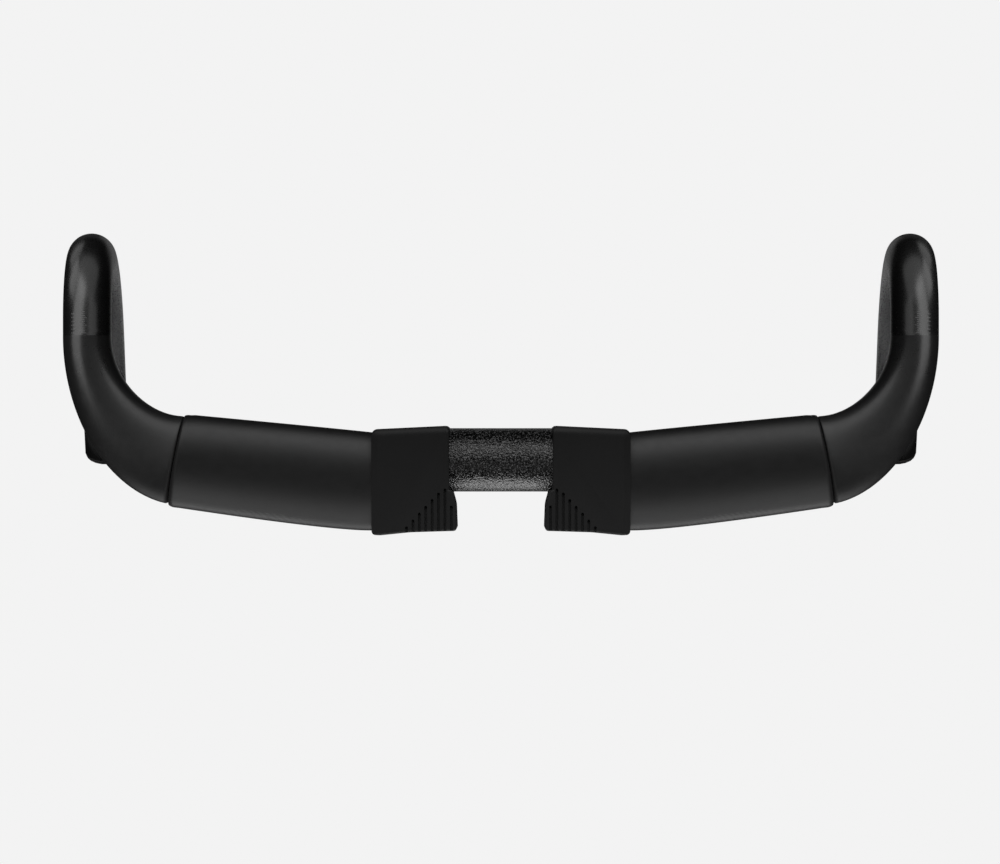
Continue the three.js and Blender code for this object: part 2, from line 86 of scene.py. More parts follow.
JOINT_CENTRE = np.array([162.5 * MM, -0.2 * MM])
JOINT_SWEEP = math.radians(10.33)
JOINT_NORMAL = np.array([math.cos(JOINT_SWEEP), math.sin(JOINT_SWEEP), 0])
DROP_ROOT = (22.3 * MM, 9.8 * MM)  # half the width and height of the bend at the joint
ROOT_ROUND = 1.5 * MM  # rounding of its edge there
SPIGOT_SHARE = 0.26  # of the wing's length that the spigot fills
SPIGOT_STEPS = 8
SPIGOT_WALL = 1.6 * MM
GROOVE_SHADE_WIDTH = (0.6 * MM, 2.2 * MM)  # of the painted shade in the joint's groove, at its front and rear ends

HOOD_START = 62 * MM
HOOD_HANDLES = (22.8 * MM, 31.4 * MM)  # of the bend's curve, at the joint and at the hood
BEND_STEPS = 56
HOOK_START = 71.1 * MM
HOOK_RADIUS = 33.2 * MM
HOOK_TURN = math.radians(97)
LOWER_RADIUS = 80 * MM
DROP_LENGTH = 72.3 * MM
TUBE_RADIUS = 12 * MM
BORE_RADIUS = 10.4 * MM

# The drop's end and heading come from the joint that its plug screw turns on.
plug_joint = next(j for j in frame["joints"] if j["name"] == "right_plug_screw_turn")
DROP_END = Vector(plug_joint["pos_m"])
DROP_HEADING = Vector(plug_joint["axis"]).normalized()
FLARE = math.atan2(DROP_HEADING.x, -DROP_HEADING.z)
DROP_SLOPE = math.asin(math.hypot(DROP_HEADING.x, DROP_HEADING.z))

# Each hose port: how far along it is (sideways, or forward), its width and its height.
EXIT_PORT = (40 * MM, 13 * MM, 7.5 * MM)
ENTRY_PORT = (51 * MM, 11 * MM, 7 * MM)

RING = 96  # points round a section of the bar


# ---------------------------------------------------------------- camera, backdrop and kinds of light

SCALE = 501.25 * MM  # width of the view at the height of the clamp
CAMERA_HEIGHT = 1.085
CAMERA_PLACE = Vector((-0.45 * MM, 13.96 * MM, CAMERA_HEIGHT))


def make_camera():
    data = bpy.data.cameras.new("camera")
    data.sensor_width = 36
    data.lens = data.sensor_width * CAMERA_HEIGHT / SCALE
    data.clip_start = 0.01
    camera = bpy.data.objects.new("camera", data)
    bpy.context.collection.objects.link(camera)
    camera.location = CAMERA_PLACE
    bpy.context.scene.camera = camera


def material(name):
    made = bpy.data.materials.new(name)
    made.use_nodes = True
    made.node_tree.nodes.clear()
    return made


def backdrop():
    """A seamless pale room round the object: floor, cove and walls."""
    profile = [(0, -1.6)]
    for step in range(13):
        angle = math.radians(-90 + step * 7.5)
        profile.append((5 + 1.5 * math.cos(angle), -0.1 + 1.5 * math.sin(angle)))
    profile += [(6.5, 4), (0, 4)]
    mesh = bpy.data.meshes.new("backdrop")
    count = 48
    points = []
    faces = []
    for radius, height in profile:
        for i in range(count):
            turn = 2 * math.pi * i / count
            points.append((radius * math.cos(turn), radius * math.sin(turn), height))
    for r in range(len(profile) - 1):
        for i in range(count):
            a, b = r * count + i, r * count + (i + 1) % count
            faces.append((a, b, b + count, a + count))
    mesh.from_pydata(points, [], faces)
    made = material("pale_paper")
    nodes, links = made.node_tree.nodes, made.node_tree.links
    glow = nodes.new("ShaderNodeEmission")
    glow.inputs["Color"].default_value = (0.896, 0.896, 0.896, 1)
    out = nodes.new("ShaderNodeOutputMaterial")
    links.new(glow.outputs[0], out.inputs["Surface"])
    mesh.materials.append(made)
    room = bpy.data.objects.new("backdrop", mesh)
    bpy.context.collection.objects.link(room)
    room.visible_diffuse = False
    room.visible_glossy = False
    room.visible_shadow = False


def soft_light(name, place, aim, size, power, linked=None):
    data = bpy.data.lights.new(name, "AREA")
    data.shape = "RECTANGLE"
    data.size, data.size_y = size
    data.energy = power
    light = bpy.data.objects.new(name, data)
    bpy.context.collection.objects.link(light)
    light.location = place
    direction = Vector(aim) - Vector(place)
    light.rotation_euler = direction.to_track_quat("-Z", "Y").to_euler()
    light.visible_camera = False
    if linked:
        light.light_linking.receiver_collection = linked
    return light


def make_world():
    world = bpy.data.worlds.new("studio")
    bpy.context.scene.world = world
    world.use_nodes = True
    world.node_tree.nodes["Background"].inputs["Color"].default_value = (1, 1, 1, 1)
    world.node_tree.nodes["Background"].inputs["Strength"].default_value = 0.006


# ---------------------------------------------------------------- mesh helpers

def link(name, mesh):
    piece = bpy.data.objects.new(name, mesh)
    bpy.context.collection.objects.link(piece)
    return piece


def skin(name, rings, closed=False, caps=True):
    """A mesh through rings of points. A closed one joins its last ring to its first."""
    count = len(rings[0])
    points = np.concatenate(rings)
    faces = []
    rows = len(rings) if closed else len(rings) - 1
    for r in range(rows):
        first = r * count
        second = ((r + 1) % len(rings)) * count
        for i in range(count):
            j = (i + 1) % count
            faces.append((first + i, first + j, second + j, second + i))
    if caps and not closed:
        faces.append(tuple(reversed(range(count))))
        faces.append(tuple(range(len(points) - count, len(points))))
    mesh = bpy.data.meshes.new(name)
    mesh.from_pydata([tuple(p) for p in points], [], faces)
    face_outward(mesh)
    return link(name, mesh)


def face_outward(mesh):
    bm = bmesh.new()
    bm.from_mesh(mesh)
    bmesh.ops.recalc_face_normals(bm, faces=bm.faces)
    if bm.calc_volume(signed=True) < 0:
        bmesh.ops.reverse_faces(bm, faces=bm.faces)
    bm.to_mesh(mesh)
    bm.free()


def smooth_shading(piece, degrees=32):
    piece.data.polygons.foreach_set("use_smooth", [True] * len(piece.data.polygons))
    piece.data.set_sharp_from_angle(angle=math.radians(degrees))
    return piece


def cut(piece, tool, operation="DIFFERENCE"):
    """Cuts a piece with a tool, or joins the two, and uses the tool up."""
    step = piece.modifiers.new("cut", "BOOLEAN")
    step.operation = operation
    step.solver = "MANIFOLD"
    step.object = tool
    depsgraph = bpy.context.evaluated_depsgraph_get()
    result = bpy.data.meshes.new_from_object(piece.evaluated_get(depsgraph))
    piece.modifiers.clear()
    old = piece.data
    piece.data = result
    bpy.data.meshes.remove(old)
    bpy.data.objects.remove(tool)
    return piece


def mirrored(piece, name):
    """The same piece on the other side of the plane X = 0."""
    mesh = piece.data.copy()
    mesh.transform(Matrix.Scale(-1, 4, (1, 0, 0)))
    mesh.flip_normals()
    return link(name, mesh)


def rounded_profile(corners, radius, steps=4):
    """Rounds each corner of a closed (x, y) outline. radius is one number, or one for each corner."""
    points = [np.array(c, float) for c in corners]
    made = []
    for i, corner in enumerate(points):
        size = radius[i] if isinstance(radius, (list, tuple)) else radius
        before = points[i - 1] - corner
        after = points[(i + 1) % len(points)] - corner
        reach_before, reach_after = np.linalg.norm(before), np.linalg.norm(after)
        before, after = before / reach_before, after / reach_after
        half = math.acos(max(-1, min(1, float(before @ after)))) / 2
        if size <= 0 or half > 1.55:
            made += [corner] * (steps + 1) if size > 0 else [corner]
            continue
        reach = min(size / math.tan(half), 0.45 * reach_before, 0.45 * reach_after)
        size = reach * math.tan(half)
        middle = (before + after) / np.linalg.norm(before + after)
        centre = corner + middle * size / math.sin(half)
        start = corner + before * reach - centre
        end = corner + after * reach - centre
        turn = math.atan2(start[0] * end[1] - start[1] * end[0], start @ end)
        for k in range(steps + 1):
            angle = turn * k / steps
            c, s = math.cos(angle), math.sin(angle)
            made.append(centre + np.array([c * start[0] - s * start[1], s * start[0] + c * start[1]]))
    return made


# ---------------------------------------------------------------- sections of the bar

def section(centre, across, up):
    """An oval section: its centre, and its half axes across and up."""
    return np.array(centre, float), np.array(across, float), np.array(up, float)


def grown(part, by):
    """A section with both half axes longer by a distance."""
    centre, across, up = part
    longer = [v * (1 + by / np.linalg.norm(v)) for v in (across, up)]
    return centre, *longer


def ring_of(part, offset=0.0, count=RING):
    centre, across, up = grown(part, offset)
    angle = np.linspace(0, 2 * math.pi, count, endpoint=False)[:, None]
    return centre + np.cos(angle) * across + np.sin(angle) * up


def flip(part):
    """The same section on the other side of the plane X = 0."""
    return tuple(v * np.array([-1, 1, 1]) for v in part)


def smooth(t):
    return t * t * (3 - 2 * t)


def quadratic(points, t):
    """A point on the quadratic Bezier curve through three control points."""
    a, b, c = (np.array(p) for p in points)
    return (1 - t) ** 2 * a + 2 * t * (1 - t) * b + t * t * c


def joint_point(forward):
    """A point on the joint's line in plan."""
    return JOINT_CENTRE + forward * np.array([-math.sin(JOINT_SWEEP), math.cos(JOINT_SWEEP)])


def wing_section(share):
    """The wing's section, from its start at 0 to the joint at 1."""
    front = quadratic([*WING_FRONT, joint_point(WING_CHORD_END)], share)
    rear = quadratic([*WING_REAR, joint_point(-WING_CHORD_END)], share)
    centre, across = (front + rear) / 2, (rear - front) / 2
    return section([*centre, 0], [*across, 0], [0, 0, WING_THICKNESS])


def change_section(share):
    """A section between the round clamp at 0 and the wing at 1."""
    centre, across, _ = wing_section(0)
    blend = smooth(share)
    half = CLAMP_RADIUS + (np.linalg.norm(across) - CLAMP_RADIUS) * blend
    height = CLAMP_RADIUS + (WING_THICKNESS - CLAMP_RADIUS) * blend
    reach = CLAMP_REACH + (WING_START - CLAMP_REACH) * share
    return section([reach, centre[1] * blend, 0], [0, -half, 0], [0, 0, height])


def lip_sections():
    """The wing's last sections, rounded over down to the joint."""
    made = []
    for step in range(9):
        angle = math.radians(step * 10.5)
        centre, across, up = wing_section(1)
        centre = centre - JOINT_NORMAL * LIP_WIDTH * (1 - math.sin(angle))
        made.append(grown((centre, across, up), -LIP_RADIUS * (1 - math.cos(angle))))
    return made


def wing_line():
    """Sections of the right half, from the clamp's edge to the joint."""
    change = [change_section(i / CHANGE_STEPS) for i in range(CHANGE_STEPS)]
    return change + [wing_section(i / WING_STEPS) for i in range(WING_STEPS)]


# ---------------------------------------------------------------- hose ports

def capsule(width, height, steps=10):
    """Outline of a slot with round ends, as (x, y) points."""
    half = (width - height) / 2
    made = []
    for centre, start in ((half, -90), (-half, 90)):
        for k in range(steps + 1):
            angle = math.radians(start + 180 * k / steps)
            made.append((centre + height / 2 * math.cos(angle), height / 2 * math.sin(angle)))
    return made


def port_prism(place, size, inside, outside):
    """A cutter for a hose port, from a depth inside the wall to a height outside it."""
    point, along, side, out = place
    outline = capsule(*size)
    rings = [np.array([point + along * x + side * y + out * depth for x, y in outline])
             for depth in (-inside, outside)]
    return skin("port", rings)


def exit_place():
    """Where the hoses leave the bar: a point, and the directions along the port, across it and out of it."""
    share = (EXIT_PORT[0] - CLAMP_REACH) / (WING_START - CLAMP_REACH)

    def rear(s):
        centre, across, _ = change_section(s)
        return centre + across

    along = rear(share + 0.05) - rear(share - 0.05)
    along /= np.linalg.norm(along)
    side = np.array([0.0, 0.0, 1.0])
    return rear(share), along, side, np.cross(along, side)


def entry_place():
    """Where the hoses enter, under the hood, in the same form."""
    point = np.array([HOOD_X, ENTRY_PORT[0], -TUBE_RADIUS])
    return point, np.array([0.0, 1.0, 0.0]), np.array([1.0, 0.0, 0.0]), np.array([0.0, 0.0, -1.0])


# ---------------------------------------------------------------- the drop's centre line

def leaning(forward, upright):
    """A vector in the plane of the hook, which leans out by the flare."""
    return np.array([-upright * math.sin(FLARE), forward, upright * math.cos(FLARE)])


PLANE_NORMAL = np.array([math.cos(FLARE), 0, math.sin(FLARE)])


def arc(centre, radius, start, turn, steps):
    """Points and headings down a clockwise arc in the hook's plane."""
    made = []
    for k in range(1, steps + 1):
        angle = start - turn * k / steps
        point = (centre[0] + radius * math.cos(angle), centre[1] + radius * math.sin(angle))
        made.append((point, (math.sin(angle), -math.cos(angle))))
    return made


def hook_line():
    """In-plane points and headings, from the hood to the end of the lower drop."""
    made = [((HOOD_START + (HOOK_START - HOOD_START) * k / 4, 0), (1, 0)) for k in range(1, 5)]
    first = (HOOK_START, -HOOK_RADIUS)
    made += arc(first, HOOK_RADIUS, math.pi / 2, HOOK_TURN, 48)
    start = math.pi / 2 - HOOK_TURN
    shift = HOOK_RADIUS - LOWER_RADIUS
    second = (first[0] + shift * math.cos(start), first[1] + shift * math.sin(start))
    made += arc(second, LOWER_RADIUS, start, start + math.pi / 2 - DROP_SLOPE, 36)
    point, heading = made[-1]
    for k in range(1, 13):
        reach = DROP_LENGTH * k / 12
        made.append(((point[0] + heading[0] * reach, point[1] + heading[1] * reach), heading))
    return made


# The hood stands where the hook's line ends on the plug's joint.
HOOD_X = DROP_END.x - leaning(*hook_line()[-1][0])[0]


def hook_section(point, heading):
    along = leaning(*heading)
    centre = leaning(*point) + np.array([HOOD_X, 0, 0])
    return section(centre, PLANE_NORMAL * TUBE_RADIUS, np.cross(PLANE_NORMAL, along) * TUBE_RADIUS)


def bend_section(share):
    """The bend's section, from the oval root at the joint at 0 to the round hood tube at 1."""
    start = np.array([*JOINT_CENTRE, 0]) + JOINT_NORMAL * GAP
    end = np.array([HOOD_X, HOOD_START, 0])
    knots = [start, start + JOINT_NORMAL * HOOD_HANDLES[0], end - np.array([0, HOOD_HANDLES[1], 0]), end]
    t, u = share, 1 - share
    centre = u ** 3 * knots[0] + 3 * u * u * t * knots[1] + 3 * u * t * t * knots[2] + t ** 3 * knots[3]
    slope = 3 * (u * u * (knots[1] - knots[0]) + 2 * u * t * (knots[2] - knots[1]) + t * t * (knots[3] - knots[2]))
    slope /= np.linalg.norm(slope)
    blend = smooth(share ** 0.872)
    half_width = DROP_ROOT[0] + (TUBE_RADIUS - DROP_ROOT[0]) * blend
    half_height = DROP_ROOT[1] + (TUBE_RADIUS - DROP_ROOT[1]) * blend
    return section(centre, np.array([slope[1], -slope[0], 0]) * half_width, [0, 0, half_height])


bend_length = sum(float(np.linalg.norm(bend_section((k + 1) / 20)[0] - bend_section(k / 20)[0])) for k in range(20))


def drop_line():
    """Sections of the right drop, from the joint to the end of the lower drop."""
    bend = [bend_section(k / BEND_STEPS) for k in range(BEND_STEPS + 1)]
    return bend + [hook_section(point, heading) for point, heading in hook_line()]


# ---------------------------------------------------------------- materials

def wire(made, value, socket):
    made.node_tree.links.new(value, socket)


def surface(name, specular=0.5, metallic=0.0):
    """A new material, its shader, and the object coordinates for its textures."""
    made = material(name)
    node = made.node_tree.nodes.new("ShaderNodeBsdfPrincipled")
    node.inputs["Metallic"].default_value = metallic
    node.inputs["Specular IOR Level"].default_value = specular
    out = made.node_tree.nodes.new("ShaderNodeOutputMaterial")
    wire(made, node.outputs["BSDF"], out.inputs["Surface"])
    return made, node, made.node_tree.nodes.new("ShaderNodeTexCoord").outputs["Object"]


def coated(made, node, colour, rough, normal):
    """The material with its colour, roughness and normal joined to the shader."""
    for value, name in ((colour, "Base Color"), (rough, "Roughness"), (normal, "Normal")):
        wire(made, value, node.inputs[name])
    return made


def noise(made, source, scale, detail=2.0, roughness=0.5):
    node = made.node_tree.nodes.new("ShaderNodeTexNoise")
    wire(made, source, node.inputs["Vector"])
    node.inputs["Scale"].default_value = scale
    node.inputs["Detail"].default_value = detail
    node.inputs["Roughness"].default_value = roughness
    return node.outputs["Fac"]


def grains(made, source, scale):
    node = made.node_tree.nodes.new("ShaderNodeTexVoronoi")
    wire(made, source, node.inputs["Vector"])
    node.inputs["Scale"].default_value = scale
    return node.outputs["Distance"]


def spread(made, value, low, high, to_low, to_high):
    node = made.node_tree.nodes.new("ShaderNodeMapRange")
    wire(made, value, node.inputs["Value"])
    for name, number in zip(("From Min", "From Max", "To Min", "To Max"), (low, high, to_low, to_high)):
        node.inputs[name].default_value = number
    return node.outputs["Result"]


def tint(made, factor, first, second):
    """A blend of two colours, each of them a socket or plain values."""
    node = made.node_tree.nodes.new("ShaderNodeMix")
    node.data_type = "RGBA"
    wire(made, factor, node.inputs["Factor"])
    for value, name in ((first, "A"), (second, "B")):
        if isinstance(value, tuple):
            node.inputs[name].default_value = (*value, 1)
        else:
            wire(made, value, node.inputs[name])
    return node.outputs["Result"]


def reckon(made, operation, first, second=None):
    """A Math node on values that are sockets or numbers."""
    node = made.node_tree.nodes.new("ShaderNodeMath")
    node.operation = operation
    for value, socket in zip((first, second), node.inputs):
        if isinstance(value, (int, float)):
            socket.default_value = value
        elif value is not None:
            wire(made, value, socket)
    return node.outputs[0]


def axes(made, place):
    node = made.node_tree.nodes.new("ShaderNodeSeparateXYZ")
    wire(made, place, node.inputs[0])
    return node.outputs["X"], node.outputs["Y"], node.outputs["Z"]


def bump(made, height, depth, strength=1.0, under=None):
    node = made.node_tree.nodes.new("ShaderNodeBump")
    wire(made, height, node.inputs["Height"])
    node.inputs["Distance"].default_value = depth
    node.inputs["Strength"].default_value = strength
    if under is not None:
        wire(made, under, node.inputs["Normal"])
    return node.outputs["Normal"]


def grey(value):
    return (value, value, value * 1.01)


def clamp_grit():
    """Gritty anti-slip coat where the stem clamps: glinting grains on a dark satin ground."""
    made, node, place = surface("clamp_grit", 0.6)
    speck = noise(made, place, 1150, 1.0, 0.5)
    patch = noise(made, place, 180, 2.0)
    colour = tint(made, spread(made, speck, 0.52, 0.66, 0, 1), grey(0.003), grey(0.12))
    rough = spread(made, speck, 0.35, 0.65, 0.26, 0.16)
    return coated(made, node, colour, rough, bump(made, patch, 0.05 * MM, 0.3, bump(made, speck, 0.45 * MM, 1.0)))


def groove_shade_mask(made, place):
    """1 in the painted shade of the joint's groove, which is wider towards the rear, and 0 on the paint."""
    across, forward, _ = axes(made, place)
    reach = reckon(made, "SUBTRACT", reckon(made, "ABSOLUTE", across), float(JOINT_CENTRE[0]))
    ahead = reckon(made, "SUBTRACT", forward, float(JOINT_CENTRE[1]))
    beyond = reckon(made, "ADD", reckon(made, "MULTIPLY", reach, float(JOINT_NORMAL[0])),
                    reckon(made, "MULTIPLY", ahead, float(JOINT_NORMAL[1])))
    width = spread(made, ahead, WING_CHORD_END, -WING_CHORD_END, *GROOVE_SHADE_WIDTH)
    return spread(made, reckon(made, "DIVIDE", reckon(made, "ABSOLUTE", beyond), width), 0.5, 1.3, 1, 0)


def matt_paint(name, from_y, to_y):
    """Matt black paint with faint handling marks; hands have polished it between two distances forward."""
    made, node, place = surface(name)
    fine = noise(made, place, 5200, 2.0)
    haze = noise(made, place, 32, 4.0, 0.6)
    rub = noise(made, place, 260, 3.0, 0.6)
    polish = spread(made, axes(made, place)[1], from_y, to_y, 0, -0.14)
    rough = reckon(made, "ADD", polish, spread(made, rub, 0.3, 0.7, 0.40, 0.46))
    # painted shade: the colour darkens in the joint's groove beside its real step, whose depth casts no shade of its
    # own
    groove = groove_shade_mask(made, place)
    rough = reckon(made, "ADD", rough, reckon(made, "MULTIPLY", groove, 0.5))
    paint = tint(made, haze, grey(0.0085), grey(0.0125))
    # painted shade: the near-black colour of the groove
    painted_groove_shade = tint(made, rub, grey(0.001), grey(0.003))
    return coated(made, node, tint(made, groove, paint, painted_groove_shade), rough, bump(made, fine, 0.012 * MM, 0.5))


def satin_carbon():
    """Bare satin finish of the hooks, with a fine mottled grain; the lower drops carry painted light, a lighter
    colour that fades out again near the end.
    """
    made, node, place = surface("satin_carbon")
    fine = noise(made, place, 1500, 3.0, 0.7)
    haze = noise(made, place, 60, 3.0)
    height = axes(made, place)[2]
    # painted light: below 14 mm down the colour turns lighter, fully from 34 mm, standing in for light from the
    # inward side; it fades back between 108 and 122 mm down, near the end, which the bend shades
    low = reckon(made, "MULTIPLY", spread(made, height, -14 * MM, -34 * MM, 0, 1),
                 spread(made, height, -122 * MM, -108 * MM, 0, 1))
    base_tone = tint(made, haze, grey(0.002), grey(0.004))
    painted_light_tone = tint(made, haze, grey(0.045), grey(0.065))
    rough = spread(made, fine, 0.3, 0.7, 0.24, 0.33)
    return coated(made, node, tint(made, low, base_tone, painted_light_tone), rough, bump(made, fine, 0.04 * MM, 0.25))


def scale_ink():
    """Matt grey ink of the lever alignment scale."""
    made, node, place = surface("scale_ink", 0.3)
    fine = noise(made, place, 3000, 2.0)
    colour = tint(made, fine, grey(0.05), grey(0.09))
    return coated(made, node, colour, spread(made, fine, 0.3, 0.7, 0.6, 0.8), bump(made, fine, 0.01 * MM, 0.3))


def laminate():
    """Bare laminate inside the tubes: a soft diagonal weave under resin."""
    made, node, place = surface("laminate")
    wave = made.node_tree.nodes.new("ShaderNodeTexWave")
    wire(made, place, wave.inputs["Vector"])
    wave.bands_direction = "DIAGONAL"
    wave.inputs["Scale"].default_value = 190
    wave.inputs["Distortion"].default_value = 1.5
    weave = wave.outputs["Fac"]
    colour = tint(made, weave, grey(0.008), grey(0.03))
    return coated(made, node, colour, spread(made, weave, 0, 1, 0.35, 0.5), bump(made, weave, 0.06 * MM, 0.4))


def cover_plastic():
    """Matt moulded plastic with a fine spark-eroded texture, and painted light that makes it lighter towards the
    rear.
    """
    made, node, place = surface("cover_plastic", 0.32)
    fine = grains(made, place, 3400)
    haze = noise(made, place, 40, 3.0)
    # painted light: the colour turns lighter from the front towards the rear, where the roof tilts back towards the
    # rear lights
    painted_rear_light = spread(made, axes(made, place)[1], 14 * MM, -34 * MM, 0, 1)
    base_tone = tint(made, haze, grey(0.0160), grey(0.0185))
    painted_light_tone = tint(made, haze, grey(0.034), grey(0.039))
    rough = spread(made, haze, 0.3, 0.7, 0.56, 0.64)
    return coated(made, node, tint(made, painted_rear_light, base_tone, painted_light_tone), rough, bump(made, fine, 0.02 * MM, 0.45))


def rubber():
    made, node, place = surface("rubber", 0.3)
    fine = noise(made, place, 1800, 3.0)
    colour = tint(made, noise(made, place, 120, 3.0), grey(0.008), grey(0.016))
    return coated(made, node, colour, spread(made, fine, 0.3, 0.7, 0.6, 0.8), bump(made, fine, 0.03 * MM, 0.4))


def nylon():
    made, node, place = surface("nylon", 0.45)
    fine = noise(made, place, 3000, 2.0)
    colour = tint(made, noise(made, place, 90, 3.0), grey(0.009), grey(0.014))
    return coated(made, node, colour, spread(made, fine, 0.3, 0.7, 0.42, 0.55), bump(made, fine, 0.02 * MM, 0.4))


def metal(name, dark, light, rough, lines=1500):
    """Turned or plated metal: fine machining marks and small stains."""
    made, node, place = surface(name, metallic=1.0)
    marks = noise(made, place, lines, 2.0)
    stains = noise(made, place, 300, 4.0, 0.6)
    dulling = spread(made, marks, 0.3, 0.7, rough - 0.08, rough + 0.1)
    return coated(made, node, tint(made, stains, dark, light), dulling, bump(made, marks, 0.01 * MM, 0.4))


# ---------------------------------------------------------------- centre wing

def paint_by(piece, materials, choose):
    """Gives each face the material that choose(centre, normal) picks from the list."""
    piece.data.materials.clear()
    for made in materials:
        piece.data.materials.append(made)
    for face in piece.data.polygons:
        face.material_index = choose(face.center, face.normal)


def closed_shell(name, outer, inner):
    """A tube's wall, from the rings of its outside and of its bore."""
    return skin(name, [*outer, *reversed(inner)], closed=True)


def wing_pieces():
    """The clamp section between the paint seams, and the wing beyond them on each side."""
    seam = SEAM_BEYOND / (WING_START - CLAMP_REACH)
    edge = change_section(seam)
    clamp = [change_section(share) for share in (seam, 0.05, 0.025, 0)]
    clamp += [flip(part) for part in reversed(clamp)]
    centre = closed_shell("clamp_shell", [ring_of(s) for s in clamp], [ring_of(s, -BAR_WALL) for s in clamp])
    paint_by(centre, [finishes["clamp_grit"], finishes["laminate"]], lambda point, normal: is_inside(point))

    beyond = edge[0][0] + 1 * MM
    outer = [edge] + [s for s in wing_line() if s[0][0] > beyond] + lip_sections()
    inner = [edge] + [s for s in wing_line()[::4] if s[0][0] > beyond]
    inner.append((outer[-1][0], *wing_section(1)[1:]))
    wing = closed_shell("right_wing_shell", [ring_of(s) for s in outer], [ring_of(s, -BAR_WALL) for s in inner])
    cut(wing, port_prism(exit_place(), EXIT_PORT[1:], 6 * MM, 4 * MM))
    paint_by(wing, [finishes["wing_paint"], finishes["laminate"]], lambda point, normal: is_inside(point))
    for piece in (centre, wing, mirrored(wing, "left_wing_shell")):
        smooth_shading(piece)
        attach(piece, "bar")
        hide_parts("centre_wing")


def is_inside(centre):
    """True for a point nearer the wing's inner wall than its outer one."""
    reach = abs(centre.x)
    if reach < WING_START:
        part = change_section(max(0, (reach - CLAMP_REACH) / (WING_START - CLAMP_REACH)))
    else:
        part = wing_section(min(1, (reach - WING_START) / (JOINT_CENTRE[0] - WING_START)))
    chord = (centre.y - part[0][1]) / (np.linalg.norm(part[1]) - BAR_WALL / 2)
    height = centre.z / (np.linalg.norm(part[2]) - BAR_WALL / 2)
    return bool(chord * chord + height * height < 1)


# ---------------------------------------------------------------- drops

def valley_sections():
    """The bend's first sections, rounded over beside the step up to the wing."""
    made = []
    for step in range(7):
        angle = math.radians(step * 13)
        share = ROOT_ROUND * (1 - math.cos(angle)) / bend_length
        made.append(grown(bend_section(share), -ROOT_ROUND * (1 - math.sin(angle)) * 0.8))
    return made


def bend_pieces():
    """The painted bend with its spigot, and the bare hook and lower drop beyond the seam."""
    spigot = [wing_section(1 - SPIGOT_SHARE * k / SPIGOT_STEPS) for k in range(SPIGOT_STEPS, -1, -1)]
    line = drop_line()
    bend, hook = line[:BEND_STEPS + 1], line[BEND_STEPS:]
    to_spigot, to_bore = -BAR_WALL - GAP, BORE_RADIUS - TUBE_RADIUS
    outer = [ring_of(s, to_spigot) for s in spigot]
    outer.append(ring_of(line[0], to_spigot))
    outer += [ring_of(s) for s in valley_sections() + bend[2:]]
    inner = [ring_of(s, to_spigot - SPIGOT_WALL) for s in spigot[::4]]
    inner += [ring_of(s, to_bore) for s in bend[6::5]]
    painted = closed_shell("right_bend_shell", outer, inner)
    cut(painted, port_prism(entry_place(), ENTRY_PORT[1:], 5 * MM, 4 * MM))
    paint_inside(painted, spigot + bend, finishes["bend_paint"])

    inner = [hook[0]] + hook[2::6] + [hook[-1]]
    bare = closed_shell("right_hook_shell", [ring_of(s) for s in hook], [ring_of(s, to_bore) for s in inner])
    paint_inside(bare, hook, finishes["satin_carbon"])
    return [painted, bare]


def paint_inside(piece, line, skin_finish):
    """Paints a tube's outer faces with its finish, and the faces towards its centre line as bare laminate."""
    centres = np.array([part[0] for part in line])

    def choose(point, normal):
        gaps = centres - np.array(point)
        nearest = gaps[int(np.argmin((gaps * gaps).sum(axis=1)))]
        return bool(normal.dot(Vector(nearest)) > 0)

    paint_by(piece, [skin_finish, finishes["laminate"]], choose)


INK_RADII = (TUBE_RADIUS + 0.03 * MM, TUBE_RADIUS - 0.05 * MM)  # the ink's top, and its foot sunk in the tube
MARK_COUNT = 12
MARK_PITCH = 0.95 * MM


def hood_patch(name, y_from, y_to, left, right):
    """A thin printed patch on top of the hood tube, between two distances along it and two angles round it."""
    upper, lower = INK_RADII
    angle = np.radians(np.linspace(left, right, 5))
    rings = [np.array([(HOOD_X + upper * math.sin(a), y, upper * math.cos(a)) for a in angle]
                      + [(HOOD_X + lower * math.sin(a), y, lower * math.cos(a)) for a in angle[::-1]])
             for y in np.linspace(y_from, y_to, 5)]
    return skin(name, rings)


def scale_marks():
    """Printed lines for setting the levers level: long ones every fourth, and a row of dots beside them."""
    for k in range(MARK_COUNT):
        y = HOOD_START + 1 * MM + k * MARK_PITCH
        long_line = k % 4 == 0
        patches = [hood_patch("right_mark_line", y, y + 0.28 * MM, -9 if long_line else -5, 5)]
        if k % 2 == 0:
            patches.append(hood_patch("right_mark_dot", y - 0.1 * MM, y + 0.6 * MM, 20, 24))
            patches.append(hood_patch("right_mark_dot", y - 0.1 * MM, y + 0.35 * MM, 26, 29))
        for patch in patches:
            patch.data.materials.append(finishes["scale_ink"])
            for shown in (patch, mirrored(patch, patch.name.replace("right", "left"))):
                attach(shown, "bar")


# ---------------------------------------------------------------- covers

COVER_WALL = 2 * MM
ROOF = 17.8 * MM
FALL_OUT = 0.124
FALL_BACK = 0.06
GROOVE_WIDTH = 1.4 * MM
GROOVE_DEPTH = 1.1 * MM
GROOVE_PITCH = 3.18 * MM
GROOVE_FIRST = 46.7 * MM
GROOVE_ENDS = [-32.8, -29.4, -26, -22.6, -19.2, -16, -14, -22.4]
BOSS_RADIUS = 4.4 * MM
INSERT_HOLE = (2.7 * MM, 6.3 * MM)  # its radius, and its top
SHAFT_HOLE_RADIUS = 1.8 * MM
HEAD_HOLE = (3.25 * MM, -8 * MM)  # its radius, and its floor
MOUTH_REAR, MOUTH_FRONT, MOUTH_TOP = -32 * MM, -17.6 * MM, 6.6 * MM
# The screw's place comes from the joint that it turns on.
screw_joint = next(j for j in frame["joints"] if j["name"] == "right_cover_screw_turn")
SCREW_PLACE = screw_joint["pos_m"][:2]
